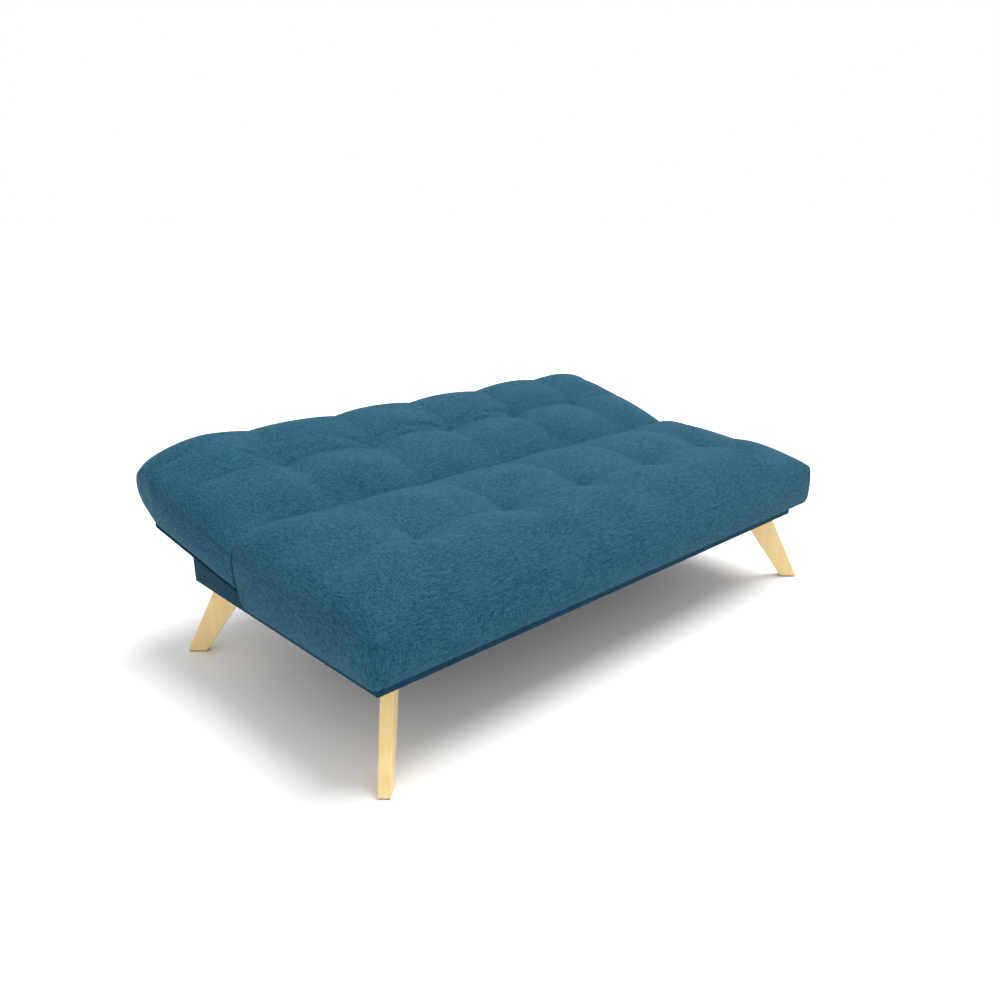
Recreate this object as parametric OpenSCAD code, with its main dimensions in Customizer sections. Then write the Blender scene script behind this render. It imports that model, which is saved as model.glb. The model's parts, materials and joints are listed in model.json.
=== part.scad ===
// Futon sofa bed: a tufted seat and a tufted backrest on a low box base with
// four splayed plank legs. The backrest folds on a pair of ratchet hinges.
// Millimetres, +Z up, sitter faces -Y. Origin: floor, middle of the bed.

/* [Bed] */
// Width of the seat, along X
bed_width = 1800; // [1700:10:1900]
// Depth with the backrest laid down, front face to rear end
bed_depth = 1110; // [1090:10:1150]
// Depth of the seat, front face to fold line
seat_depth = 580; // [560:5:600]
// Height of the underside of the box base
leg_height = 224; // [200:2:250]
// Slope of the laid-down backrest's underside, in degrees
back_tilt = 10.5; // [9.5:0.5:11.5]

/* [Upholstery] */
// Height of the cover's lower edge above the base's underside
skirt_rise = 44; // [40:1:48]
// Height of the boxed seat border, lower edge to seam
border_height = 122; // [115:1:130]
// Crown of the seat above the border seam
seat_crown = 95; // [88:1:100]
// Radius of the backrest's rounded rear end
back_end_radius = 108; // [104:1:110]
// How much wider the backrest is than the seat at its rear end, on each side
back_flare = 28; // [10:1:40]
// How far the upholstery overhangs the base at each side
side_overhang = 40; // [38:1:44]
// How far the seat overhangs the base in front
front_overhang = 46; // [44:1:56]

/* [Frame] */
// Height of the base rails
base_rail_height = 60; // [56:1:64]
// Thickness of the base rails
base_rail_thick = 22; // [18:1:24]
// Height of the seat and back frame rails
frame_rail_height = 34; // [30:1:36]
// Thickness of the seat and back frame rails
frame_rail_thick = 25; // [22:1:28]
// Number of sprung slats in each frame
slat_count = 11; // [9:2:13]
// Width of one slat
slat_width = 55; // [45:1:60]

/* [Legs] */
// Thickness of a leg plank
leg_thick = 30; // [24:1:34]
// Width of a leg at its foot
leg_foot_width = 54; // [44:1:60]
// Width of a leg at its top
leg_top_width = 100; // [90:1:110]
// Sideways reach of a leg from its top to its foot
leg_splay = 130; // [100:1:134]

/* [Ratchet hinges] */
// Height of the fold axis below the seat's crown
fold_drop = 60; // [56:1:64]
// Radius of the hinge pin
pin_radius = 5; // [4:0.5:6]
// Radius of the ratchet housing
housing_radius = 19; // [16:1:20]

/* [Hidden] */
$fn = 48;

cover_colour = [0.11, 0.31, 0.42];
wrap_colour = [0.04, 0.16, 0.25];
leg_colour = [0.93, 0.78, 0.50];
pine_colour = [0.80, 0.66, 0.45];
steel_colour = [0.45, 0.46, 0.48];
plastic_colour = [0.10, 0.10, 0.11];
felt_colour = [0.30, 0.30, 0.32];

gap = 0.5;                 // play between pieces that only lie side by side
pin_play = 0.05;           // radial play of a pin or screw in its hole
over = 20;                 // how far a cutting tool runs past the face it opens

half_w = bed_width / 2;
front_y = -bed_depth / 2;
rear_y = bed_depth / 2;
fold_y = front_y + seat_depth;
skirt_z = leg_height + skirt_rise;
seam_z = skirt_z + border_height;
crown_z = seam_z + seat_crown;
fold_z = crown_z - fold_drop;
fold_gap = 3;              // from the fold line to each cushion's meeting face

// Box base
wrap_t = 1.5;
base_x = half_w - side_overhang - wrap_t;
base_front_y = front_y + front_overhang + wrap_t;
base_rear_y = fold_y + 320;
base_top_z = leg_height + base_rail_height;
block_size = 125;

// Backrest underside: a line that rises to the rear from the fold
under_z = skirt_z + 32;
back_front_y = fold_y + fold_gap;
function underside(y) = under_z + (y - back_front_y) * tan(back_tilt);
back_clearance = 5;        // from the base's sloping top to the backrest cover

// Seat frame, standing on the base rails
seat_frame_top = base_top_z + frame_rail_height;
slat_t = 8;
deck_t = 2;
pocket_z = seat_frame_top + slat_t + deck_t;
seat_rear_y = fold_y - 5;
seat_slat_span = 2 * base_x - 80;
slat_pitch = seat_slat_span / slat_count;

// Backrest frame, in the tilted frame of the underside
back_x = base_x - frame_rail_thick - 6.5;
back_frame_v0 = 34;
back_frame_v1 = 424;
back_frame_w0 = 3;
back_pocket_w = back_frame_w0 + frame_rail_height + slat_t + deck_t;
cover_t = 1;

// Legs
leg_top_x = half_w - 130;
leg_front_y = front_y + 122;
leg_rear_y = base_rear_y - 65;
plate_t = 3;
plate_size = 84;
glide_t = 3;
bolt_r = 4;
bolt_spacing = 52;

// Hinge layers, measured outward from the middle of the bed
arm_t = 3;
seat_arm_x = base_x - frame_rail_thick - arm_t;
back_arm_x = seat_arm_x - gap - arm_t;
housing_t = 11;
pin_head_t = 2;
pin_head_r = 8;
knuckle_r = 16;
screw_r = 2.5;
screw_head_r = 5;
screw_head_t = 2;
screw_len = 18;
frame_screw_len = 60;
hinge_room_x0 = back_arm_x - pin_head_t - 3;
hinge_room_x1 = seat_arm_x + arm_t + housing_t + pin_head_t + 3;

module left() { mirror([1, 0, 0]) children(); }

// A profile drawn in the Y-Z plane, given a span along X
module across(x0, x1) {
  translate([x0, 0, 0]) rotate([90, 0, 90]) linear_extrude(height = x1 - x0) children();
}

// A round bar along X
module bar(x0, x1, y, z, r) {
  translate([x0, y, z]) rotate([0, 90, 0]) cylinder(r = r, h = x1 - x0);
}

module block(x0, x1, y0, y1, z0, z1) {
  translate([x0, y0, z0]) cube([x1 - x0, y1 - y0, z1 - z0]);
}

// Moves a piece from the tilted frame of the backrest's underside to its place
module on_back() {
  translate([0, back_front_y, under_z]) rotate([back_tilt, 0, 0]) children();
}

// ---------------------------------------------------------------- base

// Side rail outline: low under the seat, then rising under the backrest
module side_rail_profile(z0) {
  polygon([
    [base_front_y, z0],
    [base_rear_y, z0],
    [base_rear_y, underside(base_rear_y) - back_clearance],
    [back_front_y + 8, underside(back_front_y + 8) - back_clearance],
    [back_front_y, base_top_z],
    [base_front_y, base_top_z]
  ]);
}

module base_side_rail() {
  color(pine_colour) across(base_x - base_rail_thick, base_x) side_rail_profile(leg_height);
}

module base_front_rail() {
  inner = base_x - base_rail_thick;
  color(pine_colour) difference() {
    block(-inner, inner, base_front_y, base_front_y + base_rail_thick, leg_height, base_top_z);
    frame_screw_holes();
  }
}

module base_rear_rail() {
  inner = base_x - base_rail_thick;
  y0 = base_rear_y - base_rail_thick;
  color(pine_colour) across(-inner, inner) polygon([
    [y0, leg_height],
    [base_rear_y, leg_height],
    [base_rear_y, underside(base_rear_y) - back_clearance],
    [y0, underside(y0) - back_clearance]
  ]);
}

module base_left_rail() { left() base_side_rail(); }
module base_right_rail() { base_side_rail(); }

module base_cross_rails() {
  y0 = base_front_y + base_rail_thick;
  y1 = base_rear_y - base_rail_thick;
  color(pine_colour) difference() {
    for (x = [-1.5, 1.5] * slat_pitch)
      block(x - base_rail_thick / 2, x + base_rail_thick / 2, y0, y1, leg_height, base_top_z);
    frame_screw_holes();
  }
}

// The four corners of the base, as [side, y of the corner's inside, direction inwards]
corners = [
  [-1, base_front_y + base_rail_thick, 1],
  [1, base_front_y + base_rail_thick, 1],
  [-1, base_rear_y - base_rail_thick, -1],
  [1, base_rear_y - base_rail_thick, -1]
];

module base_corner_blocks() {
  inner = base_x - base_rail_thick;
  color(pine_colour) difference() {
    for (c = corners) {
      block(
        c[0] > 0 ? inner - block_size : -inner, c[0] > 0 ? inner : -inner + block_size,
        c[2] > 0 ? c[1] : c[1] - block_size, c[2] > 0 ? c[1] + block_size : c[1],
        leg_height, base_top_z
      );
    }
    each_leg_bolt() cylinder(r = bolt_r + pin_play, h = 200, center = true);
  }
}

module wrap_front() {
  outer = base_x + wrap_t;
  color(wrap_colour)
    block(-outer, outer, base_front_y - wrap_t, base_front_y, leg_height, base_top_z);
}

module wrap_rear() {
  outer = base_x + wrap_t;
  top = underside(base_rear_y) - back_clearance;
  color(wrap_colour) block(-outer, outer, base_rear_y, base_rear_y + wrap_t, leg_height, top);
}

module wrap_side() {
  color(wrap_colour) across(base_x, base_x + wrap_t) side_rail_profile(leg_height);
}

module wrap_left() { left() wrap_side(); }
module wrap_right() { wrap_side(); }

// Eight-sided, so that it clears the leg plates at the corners
module base_dust_cover() {
  x = base_x - 4;
  y0 = base_front_y + 4;
  y1 = base_rear_y - 4;
  cut = 230;
  color(plastic_colour) translate([0, 0, leg_height - cover_t]) linear_extrude(height = cover_t)
    polygon([
      [-x, y0 + cut], [-x + cut, y0], [x - cut, y0], [x, y0 + cut],
      [x, y1 - cut], [x - cut, y1], [-x + cut, y1], [-x, y1 - cut]
    ]);
}

// ---------------------------------------------------------------- legs

// Leg places: [side, front (-1) or rear (1)]
function leg_y(e) = e < 0 ? leg_front_y : leg_rear_y;

// Puts a leg's own frame (+X outwards along the diagonal) at a corner
module at_leg(s, e) {
  translate([s * leg_top_x, leg_y(e), 0]) rotate([0, 0, atan2(e, s)]) children();
}

module each_leg_bolt() {
  for (s = [-1, 1]) for (e = [-1, 1]) for (k = [-1, 1])
    at_leg(s, e) translate([k * bolt_spacing / 2, 0, leg_height]) children();
}

// A tapered plank that leans outwards, with bolt holes in its top
module leg(s, e) {
  top_z = leg_height - plate_t;
  color(leg_colour) difference() {
    at_leg(s, e) translate([0, leg_thick / 2, 0]) rotate([90, 0, 0])
      linear_extrude(height = leg_thick) polygon([
        [-leg_top_width / 2, top_z],
        [leg_splay - leg_foot_width / 2, glide_t],
        [leg_splay + leg_foot_width / 2, glide_t],
        [leg_top_width / 2, top_z]
      ]);
    each_leg_bolt() cylinder(r = bolt_r + pin_play, h = 60, center = true);
  }
}

module leg_front_left() { leg(-1, -1); }
module leg_front_right() { leg(1, -1); }
module leg_rear_left() { leg(-1, 1); }
module leg_rear_right() { leg(1, 1); }

module leg_plate(s, e) {
  color(steel_colour) difference() {
    at_leg(s, e) block(-plate_size / 2, plate_size / 2, -leg_thick / 2 - 6, leg_thick / 2 + 6,
      leg_height - plate_t, leg_height);
    each_leg_bolt() cylinder(r = bolt_r + pin_play, h = 60, center = true);
  }
}

module leg_plate_front_left() { leg_plate(-1, -1); }
module leg_plate_front_right() { leg_plate(1, -1); }
module leg_plate_rear_left() { leg_plate(-1, 1); }
module leg_plate_rear_right() { leg_plate(1, 1); }

// Dowel screws: half in the leg, half in the corner block
module leg_bolts() {
  color(steel_colour) each_leg_bolt() translate([0, 0, -27]) cylinder(r = bolt_r, h = 56);
}

module glide(s, e) {
  margin = 3;
  color(felt_colour) at_leg(s, e)
    block(leg_splay - leg_foot_width / 2 + margin, leg_splay + leg_foot_width / 2 - margin,
      -leg_thick / 2 + margin, leg_thick / 2 - margin, 0, glide_t);
}

module glide_front_left() { glide(-1, -1); }
module glide_front_right() { glide(1, -1); }
module glide_rear_left() { glide(-1, 1); }
module glide_rear_right() { glide(1, 1); }

// ---------------------------------------------------------------- seat

module seat_front_rail() {
  color(pine_colour) difference() {
    block(-base_x, base_x, base_front_y, base_front_y + frame_rail_thick, base_top_z, seat_frame_top);
    frame_screw_holes();
  }
}

// Ends short of the hinge arms, which pass outside it
module seat_rear_rail() {
  end_x = seat_arm_x - 1;
  color(pine_colour) difference() {
    block(-end_x, end_x, seat_rear_y - frame_rail_thick, seat_rear_y, base_top_z, seat_frame_top);
    frame_screw_holes();
  }
}

module seat_side_rail() {
  color(pine_colour) difference() {
    block(base_x - frame_rail_thick, base_x, base_front_y + frame_rail_thick, seat_rear_y,
      base_top_z, seat_frame_top);
    seat_arm_screw_places() bar(0, screw_len, 0, 0, screw_r + pin_play);
  }
}

module seat_left_rail() { left() seat_side_rail(); }
module seat_right_rail() { seat_side_rail(); }

// Sprung slats laid front to back on top of a frame
module slats(y0, y1, z0, pitch) {
  color(pine_colour) for (i = [0 : slat_count - 1]) {
    x = (i + 0.5 - slat_count / 2) * pitch;
    block(x - slat_width / 2, x + slat_width / 2, y0, y1, z0, z0 + slat_t);
  }
}

module seat_slats() {
  slats(base_front_y + 4, seat_rear_y - 4, seat_frame_top, slat_pitch);
}

module seat_deck() {
  color(felt_colour) block(-base_x + 45, base_x - 45, base_front_y + 2, seat_rear_y - 2,
    seat_frame_top + slat_t, pocket_z);
}

// Seat profile, front to back: boxed front, crowned top, sloping face at the fold
module seat_profile() {
  meet_y = fold_y - fold_gap;
  polygon([
    [front_y, skirt_z + 6],
    [front_y + 6, skirt_z],
    [fold_y - 35, skirt_z],
    [meet_y, skirt_z + 78],
    [meet_y, fold_z],
    [fold_y - 45, crown_z - 4],
    [fold_y - 135, crown_z],
    [front_y + 235, crown_z - 8],
    [front_y + 125, crown_z - 20],
    [front_y + 55, crown_z - 45],
    [front_y + 20, seam_z + 27],
    [front_y + 4, seam_z + 10],
    [front_y, seam_z]
  ]);
}

// Seat seen from the front: boxed sides and a crowned top
module seat_front_profile() {
  side = [
    [half_w, skirt_z + 6],
    [half_w, seam_z],
    [half_w - 4, seam_z + 10],
    [half_w - 20, seam_z + 27],
    [half_w - 55, crown_z - 42],
    [half_w - 125, crown_z - 16],
    [half_w - 235, crown_z]
  ];
  last = len(side) - 1;
  other = [for (i = [last : -1 : 0]) [-side[i][0], side[i][1]]];
  polygon(concat([[half_w - 6, skirt_z]], side, other, [[-half_w + 6, skirt_z]]));
}

// Room for both arms, the housing and the pin where the cushions meet
module hinge_room_seat() {
  y0 = fold_y - 42;
  z1 = fold_z + housing_radius + 2;
  block(hinge_room_x0, hinge_room_x1, y0, fold_y + over, seat_frame_top - 1, z1);
}

module seat_cushion() {
  color(cover_colour) difference() {
    intersection() {
      across(-half_w, half_w) seat_profile();
      translate([0, rear_y, 0]) rotate([90, 0, 0]) linear_extrude(height = bed_depth)
        seat_front_profile();
      seat_plan();
    }
    block(-base_x - wrap_t - gap, base_x + wrap_t + gap, base_front_y - wrap_t - gap,
      fold_y + over, skirt_z - over, seat_frame_top);
    block(-base_x + 35, base_x - 35, base_front_y, fold_y + over, seat_frame_top - 1, pocket_z);
    hinge_room_seat();
    left() hinge_room_seat();
  }
}

// The seat from above, its front corners rounded, as a tall prism
module seat_plan() {
  r = 28;
  linear_extrude(height = 2 * crown_z) union() {
    translate([-half_w, front_y + r]) square([bed_width, bed_depth]);
    translate([-half_w + r, front_y]) square([bed_width - 2 * r, bed_depth]);
    for (x = [-half_w + r, half_w - r]) translate([x, front_y + r]) circle(r = r);
  }
}

// Screw places between the slats: the front rail, and the rear rail over the cross rails
module frame_screw_places() {
  front = base_front_y + base_rail_thick / 2;
  rear = seat_rear_y - frame_rail_thick / 2;
  for (k = [-4.5, -1.5, 1.5, 4.5]) translate([k * slat_pitch, front, seat_frame_top]) children();
  for (k = [-1.5, 1.5]) translate([k * slat_pitch, rear, seat_frame_top]) children();
}

module frame_screw_holes() {
  depth = frame_screw_len + 1;
  frame_screw_places() translate([0, 0, -depth]) cylinder(r = screw_r + pin_play, h = depth + over);
}

// Screws that hold the seat frame down on the base rails
module frame_screws() {
  color(steel_colour) frame_screw_places() {
    translate([0, 0, -frame_screw_len]) cylinder(r = screw_r, h = frame_screw_len);
    cylinder(r = screw_head_r, h = screw_head_t);
  }
}

// ---------------------------------------------------------------- hinges

module seat_arm_screw_places() {
  for (y = [fold_y - 130, fold_y - 60])
    translate([seat_arm_x + arm_t, y, base_top_z + 17]) children();
}

// Plate on the seat's side rail that carries the fixed half of the hinge
module hinge_seat_arm() {
  color(steel_colour) difference() {
    across(seat_arm_x, seat_arm_x + arm_t) union() {
      translate([fold_y, fold_z]) circle(r = knuckle_r);
      polygon([
        [fold_y - 150, base_top_z + 6],
        [fold_y - 36, base_top_z + 6],
        [fold_y - 8, seat_frame_top + 10],
        [fold_y - 2, fold_z - knuckle_r * 0.7],
        [fold_y - knuckle_r * 0.95, fold_z - 4],
        [fold_y - 34, seat_frame_top + 8],
        [fold_y - 48, seat_frame_top - 4],
        [fold_y - 150, seat_frame_top - 4]
      ]);
    }
    bar(seat_arm_x - over, seat_arm_x + over, fold_y, fold_z, pin_radius + pin_play);
    seat_arm_screw_places() bar(-over, over, 0, 0, screw_r + pin_play);
  }
}

module hinge_seat_arm_left() { left() hinge_seat_arm(); }
module hinge_seat_arm_right() { hinge_seat_arm(); }

// Headed rivet pin through both arms and the ratchet housing
module hinge_pin() {
  x0 = back_arm_x - gap;
  x1 = seat_arm_x + arm_t + housing_t;
  color(steel_colour) union() {
    bar(x0 - 0.5, x1 + 0.5, fold_y, fold_z, pin_radius);
    bar(x0 - pin_head_t, x0, fold_y, fold_z, pin_head_r);
    bar(x1, x1 + pin_head_t, fold_y, fold_z, pin_head_r);
  }
}

module hinge_pin_left() { left() hinge_pin(); }
module hinge_pin_right() { hinge_pin(); }

// Closed drum that hides the ratchet's teeth and pawl
module ratchet_housing() {
  x0 = seat_arm_x + arm_t;
  color(steel_colour) difference() {
    bar(x0, x0 + housing_t, fold_y, fold_z, housing_radius);
    bar(x0 - over, x0 + over, fold_y, fold_z, pin_radius + pin_play);
  }
}

module ratchet_housing_left() { left() ratchet_housing(); }
module ratchet_housing_right() { ratchet_housing(); }

// Screws stand in the rail, their heads on the arm's inner face
module seat_arm_screw_set() {
  seat_arm_screw_places() {
    bar(-arm_t, screw_len - 1, 0, 0, screw_r);
    bar(-arm_t - screw_head_t, -arm_t, 0, 0, screw_head_r);
  }
}

module seat_arm_screws() {
  color(steel_colour) {
    seat_arm_screw_set();
    left() seat_arm_screw_set();
  }
}

// ---------------------------------------------------------------- backrest

back_rail_w1 = back_frame_w0 + frame_rail_height;

module back_lower_rail() {
  color(pine_colour) on_back() block(-back_x, back_x, back_frame_v0,
    back_frame_v0 + frame_rail_thick, back_frame_w0, back_rail_w1);
}

module back_upper_rail() {
  color(pine_colour) on_back() block(-back_x, back_x, back_frame_v1 - frame_rail_thick,
    back_frame_v1, back_frame_w0, back_rail_w1);
}

module back_side_rail() {
  color(pine_colour) difference() {
    on_back() block(back_x - frame_rail_thick, back_x, back_frame_v0 + frame_rail_thick,
      back_frame_v1 - frame_rail_thick, back_frame_w0, back_rail_w1);
    back_arm_screw_places() bar(-screw_len, over, 0, 0, screw_r + pin_play);
  }
}

module back_left_rail() { left() back_side_rail(); }
module back_right_rail() { back_side_rail(); }

module back_slats() {
  on_back() slats(back_frame_v0 + 4, back_frame_v1 - 4, back_rail_w1, (2 * back_x - 40) / slat_count);
}

module back_deck() {
  color(felt_colour) on_back() block(-back_x + 25, back_x - 25, back_frame_v0 + 2,
    back_frame_v1 - 2, back_rail_w1 + slat_t, back_pocket_w);
}

// Backrest profile: a wedge that thickens to a round rear end
module back_profile() {
  end_y = rear_y - back_end_radius;
  end_z = underside(end_y) + back_end_radius / cos(back_tilt);
  top_angle = 15;
  union() {
    polygon([
      [back_front_y, under_z],
      [end_y + back_end_radius * sin(back_tilt), end_z - back_end_radius * cos(back_tilt)],
      [end_y, end_z],
      [end_y - back_end_radius * sin(top_angle), end_z + back_end_radius * cos(top_angle)],
      [fold_y + 230, crown_z + 67],
      [fold_y + 95, crown_z + 24],
      [fold_y + 43, crown_z - 6],
      [back_front_y, fold_z]
    ]);
    translate([end_y, end_z]) circle(r = back_end_radius, $fn = 64);
  }
}

// Backrest seen along its own slope: boxed sides and rounded shoulders
module back_end_profile() {
  edge = half_w + back_flare;
  side = [
    [edge - 8, 0],
    [edge, 8],
    [edge, 118],
    [edge - 12, 148],
    [edge - 45, 178],
    [edge - 120, 204],
    [edge - 300, 230]
  ];
  last = len(side) - 1;
  polygon(concat(side, [for (i = [last : -1 : 0]) [-side[i][0], side[i][1]]]));
}

// Slot for the moving arm and clearance for the fixed half of the hinge
module hinge_room_back() {
  across(hinge_room_x0, hinge_room_x1) union() {
    translate([fold_y, fold_z]) circle(r = housing_radius + 2);
    polygon([
      [fold_y - over, fold_z + housing_radius + 2],
      [fold_y - over, under_z + 6],
      [back_front_y + 30, under_z + 16],
      [back_front_y + 80, under_z + 62],
      [fold_y + housing_radius, fold_z + 6]
    ]);
  }
}

// The backrest from above: it widens to the rear, where its corners are cut round
module back_plan() {
  end_x = half_w + back_flare;
  side = [
    [half_w, fold_y - over],
    [half_w, fold_y],
    [end_x - 4, rear_y - 80],
    [end_x, rear_y - 62],
    [end_x - 12, rear_y - 26],
    [end_x - 34, rear_y - 6],
    [end_x - 60, rear_y]
  ];
  last = len(side) - 1;
  linear_extrude(height = 2 * crown_z)
    polygon(concat(side, [for (i = [last : -1 : 0]) [-side[i][0], side[i][1]]]));
}

module back_cushion() {
  color(cover_colour) difference() {
    intersection() {
      across(-half_w - back_flare, half_w + back_flare) back_profile();
      on_back() translate([0, bed_depth, 0]) rotate([90, 0, 0])
        linear_extrude(height = 2 * bed_depth) back_end_profile();
      back_plan();
    }
    on_back() block(-back_x - arm_t - 2, back_x + arm_t + 2, back_frame_v0 - 2,
      back_frame_v1 + 2, -over, back_rail_w1);
    on_back() block(-back_x + 15, back_x - 15, back_frame_v0 - 2, back_frame_v1 + 2,
      back_rail_w1 - 1, back_pocket_w);
    hinge_room_back();
    left() hinge_room_back();
  }
}

module back_dust_cover() {
  color(wrap_colour) on_back() block(-half_w + 24, half_w - 24, 14, back_frame_v1 + 14,
    -cover_t - 0.2, -0.2);
}

module back_arm_screw_places() {
  for (v = [back_frame_v0 + 60, back_frame_v0 + 120])
    on_back() translate([back_arm_x, v, back_frame_w0 + frame_rail_height / 2]) children();
}

// Plate on the backrest's side rail that turns on the pin
module hinge_back_arm() {
  foot_y0 = back_front_y + 36;
  foot_y1 = back_front_y + 180;
  color(steel_colour) difference() {
    across(back_arm_x, back_arm_x + arm_t) union() {
      translate([fold_y, fold_z]) circle(r = knuckle_r);
      polygon([
        [fold_y - knuckle_r * 0.5, fold_z - knuckle_r * 0.8],
        [foot_y0, underside(foot_y0) + 8],
        [foot_y1, underside(foot_y1) + 8],
        [foot_y1, underside(foot_y1) + 32],
        [foot_y0 + 34, underside(foot_y0) + 40],
        [fold_y + knuckle_r * 0.9, fold_z + knuckle_r * 0.3]
      ]);
    }
    bar(back_arm_x - over, back_arm_x + over, fold_y, fold_z, pin_radius + pin_play);
    back_arm_screw_places() bar(-over, over, 0, 0, screw_r + pin_play);
  }
}

module hinge_back_arm_left() { left() hinge_back_arm(); }
module hinge_back_arm_right() { hinge_back_arm(); }

module back_arm_screw_set() {
  back_arm_screw_places() {
    bar(1 - screw_len, arm_t, 0, 0, screw_r);
    bar(arm_t, arm_t + screw_head_t - 0.5, 0, 0, screw_head_r);
  }
}

module back_arm_screws() {
  color(steel_colour) {
    back_arm_screw_set();
    left() back_arm_screw_set();
  }
}

base_front_rail();
base_rear_rail();
base_left_rail();
base_right_rail();
base_cross_rails();
base_corner_blocks();
wrap_front();
wrap_rear();
wrap_left();
wrap_right();
base_dust_cover();
leg_front_left();
leg_front_right();
leg_rear_left();
leg_rear_right();
leg_plate_front_left();
leg_plate_front_right();
leg_plate_rear_left();
leg_plate_rear_right();
leg_bolts();
glide_front_left();
glide_front_right();
glide_rear_left();
glide_rear_right();
seat_front_rail();
seat_rear_rail();
seat_left_rail();
seat_right_rail();
seat_slats();
seat_deck();
seat_cushion();
frame_screws();
hinge_seat_arm_left();
hinge_seat_arm_right();
hinge_pin_left();
hinge_pin_right();
ratchet_housing_left();
ratchet_housing_right();
seat_arm_screws();
back_lower_rail();
back_upper_rail();
back_left_rail();
back_right_rail();
back_slats();
back_deck();
back_cushion();
back_dust_cover();
hinge_back_arm_left();
hinge_back_arm_right();
back_arm_screws();
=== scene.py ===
# Futon sofa bed: upholstery, wrapped base, plank legs, studio and camera.
import json
import math

import bmesh
import bpy
import numpy as np
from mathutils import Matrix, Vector
from mathutils.bvhtree import BVHTree


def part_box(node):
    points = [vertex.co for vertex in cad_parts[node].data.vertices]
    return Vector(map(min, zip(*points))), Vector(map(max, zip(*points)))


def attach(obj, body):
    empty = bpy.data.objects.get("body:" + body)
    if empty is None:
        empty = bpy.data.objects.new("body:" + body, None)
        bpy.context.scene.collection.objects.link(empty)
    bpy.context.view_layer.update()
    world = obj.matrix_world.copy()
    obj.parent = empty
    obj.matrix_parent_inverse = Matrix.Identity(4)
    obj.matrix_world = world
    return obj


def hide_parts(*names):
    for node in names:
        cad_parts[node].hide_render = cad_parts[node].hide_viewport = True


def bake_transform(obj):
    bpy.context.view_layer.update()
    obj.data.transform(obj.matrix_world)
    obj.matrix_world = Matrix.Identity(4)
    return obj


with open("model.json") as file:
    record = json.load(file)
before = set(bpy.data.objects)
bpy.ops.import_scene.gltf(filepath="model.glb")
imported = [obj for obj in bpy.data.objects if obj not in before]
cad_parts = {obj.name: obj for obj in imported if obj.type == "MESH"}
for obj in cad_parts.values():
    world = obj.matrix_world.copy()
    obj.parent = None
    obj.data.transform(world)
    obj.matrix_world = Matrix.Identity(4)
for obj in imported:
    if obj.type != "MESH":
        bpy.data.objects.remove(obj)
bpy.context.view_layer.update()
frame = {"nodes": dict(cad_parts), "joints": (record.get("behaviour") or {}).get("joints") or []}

# ---------------------------------------------------------------- sizes, in metres

seat_lo, seat_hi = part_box("seat_cushion")
back_lo, back_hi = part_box("back_cushion")
base_lo, base_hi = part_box("wrap_front")
side_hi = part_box("wrap_right")[1]
FOLD_Y = frame["joints"][0]["pos_m"][1]
HALF_W = seat_hi.x
FRONT_Y = seat_lo.y
SKIRT_Z = seat_lo.z
CROWN_Z = seat_hi.z
SEAM_Z = CROWN_Z - 0.095          # seam between the seat's border and its top
POCKET_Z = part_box("seat_deck")[1].z
MEET = 0.0008                     # from the fold line to each cover's edge
SEAT_END = FOLD_Y - MEET
BACK_START = FOLD_Y + MEET
FOLD_TOP_Z = CROWN_Z - 0.028      # the fold's sewn line, in the middle and at the sides
FOLD_SIDE_Z = SEAM_Z + 0.008
TILT = math.radians(10.5)         # slope of the backrest's underside
BACK_Y, BACK_Z = back_lo.y, back_lo.z
BACK_FLARE = back_hi.x - HALF_W
END_R = 0.108                     # radius of the backrest's rounded end
BACK_END = (back_hi.y - END_R - BACK_Y) / math.cos(TILT) + END_R * math.tan(TILT)
BACK_POCKET_X = 0.8335            # half the width of the frame's pocket in the backrest
BACK_POCKET_V0, BACK_POCKET_V1 = 0.030, 0.4265  # its ends, up the slope
BACK_POCKET_W = 0.0535            # its depth
POCKET_STEP = 0.003
HINGE_X0, HINGE_X1 = 0.822, 0.850  # the covers stand back between these for a hinge
HINGE_LINES = (HINGE_X0 - 0.002, HINGE_X0, HINGE_X1, HINGE_X1 + 0.002)

COLUMN = HALF_W / 3               # spacing of the tuft columns
ROW_SEAT = FRONT_Y + 0.240        # the sewn row across the seat
ROW_BACK = 0.272                  # the sewn row across the backrest, up its slope
CREASE_POWER = 0.72               # below 1 a crease is sharp
ROW_DEPTH = 0.016
CREASE_DEPTH = 0.018
DIMPLE_DEPTH = 0.020
PUCKER = 0.0011
SEAM_GROOVE = 0.0050
CORNER_SEAM = 0.024               # from the seat's side to the upright seam near each front corner
STITCH, STITCH_PITCH, THREAD_R = 0.0056, 0.0080, 0.0006
STITCH_RAY_STEP = 0.004           # between the rays that find the surface under a row of stitches
ROW_MARGIN = 0.10                 # the sewn rows stop this far from the sides
WRAP_CORNER_R = 0.005
WRAP_STEP_Y = 0.008               # the wrap rises to the backrest within this length
LEG_THICK, LEG_TOP_W, LEG_FOOT_W, LEG_SPLAY = 0.030, 0.100, 0.054, 0.130
DUST_CORNER_CUT = 0.226           # the base's dust cloth leaves the leg plates free
STAPLE_PITCH, STAPLE_R, STAPLE_EDGE = 0.11, 0.0005, 0.007
PUFF_PRESSURE, PUFF_FRAMES = 4.0, 20
PUFF_CAP = 0.009                  # how far the cloth solver may move a point
GRID = 0.0115                     # spacing of the cushion meshes before subdivision


def smooth(x, a, b):
    t = np.clip((x - a) / (b - a), 0, 1)
    return t * t * (3 - 2 * t)


def both_sides(*values):
    return [s * v for s in (-1, 1) for v in values]


def lines(a, b, step, extra=()):
    """Grid lines from a to b about step apart, with extra ones merged in."""
    n = max(2, round((b - a) / step))
    values = sorted([*np.linspace(a, b, n + 1), *extra])
    kept = [values[0]]
    for v in values[1:]:
        if v - kept[-1] > 0.0009:
            kept.append(v)
    return np.array(kept)


# ---------------------------------------------------------------- materials


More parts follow.
